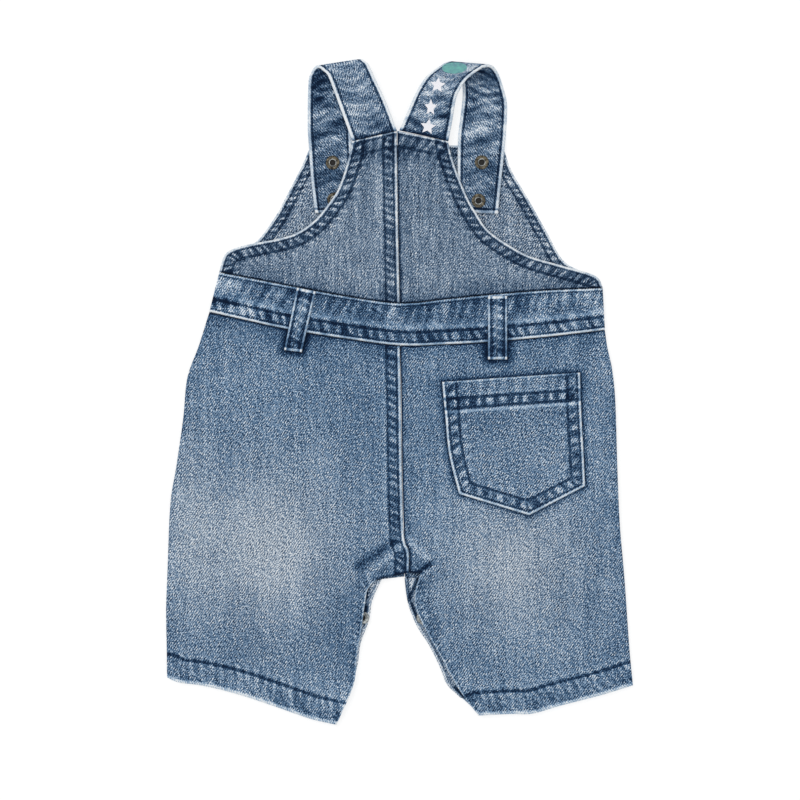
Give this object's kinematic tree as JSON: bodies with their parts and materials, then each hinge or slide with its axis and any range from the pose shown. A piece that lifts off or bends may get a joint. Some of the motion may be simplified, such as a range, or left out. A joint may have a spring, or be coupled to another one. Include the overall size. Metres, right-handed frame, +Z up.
{
  "type": "denim shortalls laid flat",
  "caption": "Baby's short denim dungarees laid flat on their front, with bib, folded straps, waistband, belt loops, patch pocket and snap inseams.",
  "frame": {"origin": "middle of the footprint, on the surface that the garment lies on", "axes": "+X across the garment, from the left leg to the right one as seen on its back; +Y from the hems to the straps; +Z up, out of the back"},
  "size_m": [0.2992, 0.4264, 0.0099],
  "materials": {
    "denim_leg": "washed twill, faded on the thighs",
    "denim_bib": "washed twill, greyer",
    "denim_seam": "darker puckered twill with worn edges",
    "denim_strap": "double cloth, puckered, with worn edges",
    "denim_facing": "pale woven facing",
    "antique_brass": "darkened, satin",
    "star_print": "matt ink printed on the strap",
    "oval_print": "matt ink printed on the strap",
    "thread": "sewing thread"
  },
  "bodies": {
    "root": {"front_bib": "denim_bib", "front_leg_left": "denim_leg", "front_leg_right": "denim_leg", "inseam_facing_left": "denim_facing", "inseam_facing_right": "denim_facing", "back_leg_left": "denim_leg", "back_leg_right": "denim_leg", "back_waistband": "denim_seam", "back_bib_left": "denim_bib", "back_bib_right": "denim_bib", "strap_left": "denim_strap", "strap_right": "denim_strap", "back_pocket": "denim_leg", "belt_loop_left": "denim_seam", "belt_loop_right": "denim_seam", "strap_snap_left_high": "antique_brass", "strap_snap_left_low": "antique_brass", "strap_snap_right_high": "antique_brass", "strap_snap_right_low": "antique_brass", "inseam_snap_left": "antique_brass", "inseam_snap_right": "antique_brass"}
  },
  "joints": []
}
